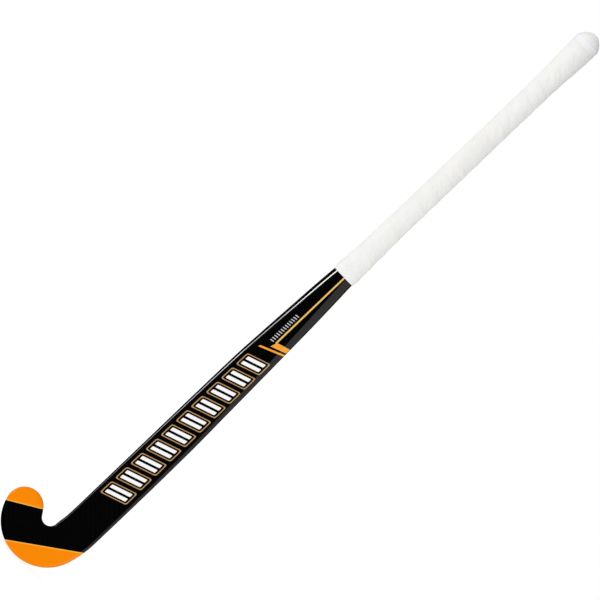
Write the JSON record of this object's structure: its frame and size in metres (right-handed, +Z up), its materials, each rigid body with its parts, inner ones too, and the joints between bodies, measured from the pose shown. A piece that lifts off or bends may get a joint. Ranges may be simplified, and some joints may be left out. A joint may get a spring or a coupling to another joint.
{
  "type": "field hockey stick",
  "caption": "Composite field hockey stick with a bowed shaft, a curved hook head with a flat playing face, and a cushioned wrapped grip with a flared butt.",
  "frame": {"origin": "on the handle's axis at the middle of the wrapped grip, where the stick is held, 0.715 m up the stick from the lowest point of its head", "axes": "+Z up along the chord from the head to the butt; the flat playing face looks towards -Y; the toe of the head points towards -X"},
  "size_m": [0.1138, 0.0484, 0.9256],
  "materials": {
    "lacquer": "gloss black lacquer with orange panels and printed decoration",
    "laminate": "bare carbon and glass laminate",
    "aramid": "woven ply set in resin",
    "foam": "rigid foam, fine closed cells",
    "plug": "moulded plastic",
    "collar": "soft foam rubber",
    "cap": "satin white moulded cap",
    "base_tape": "thin adhesive tape",
    "grip": "white cushioned polyurethane wrap, fine leather grain",
    "end_tape": "smooth white vinyl tape"
  },
  "bodies": {
    "root": {"laminate_shell": "lacquer", "head_core": "foam", "face_reinforcement": "aramid", "back_reinforcement": "aramid", "toe_side_chamber": "laminate", "heel_side_chamber": "laminate", "toe_side_shaft_foam": "foam", "heel_side_shaft_foam": "foam", "toe_side_handle_foam": "foam", "heel_side_handle_foam": "foam", "butt_plug": "plug", "butt_collar": "collar", "end_cap": "cap", "grip_base_tape": "base_tape", "grip_wrap": "grip", "grip_end_tape": "end_tape"}
  },
  "joints": []
}
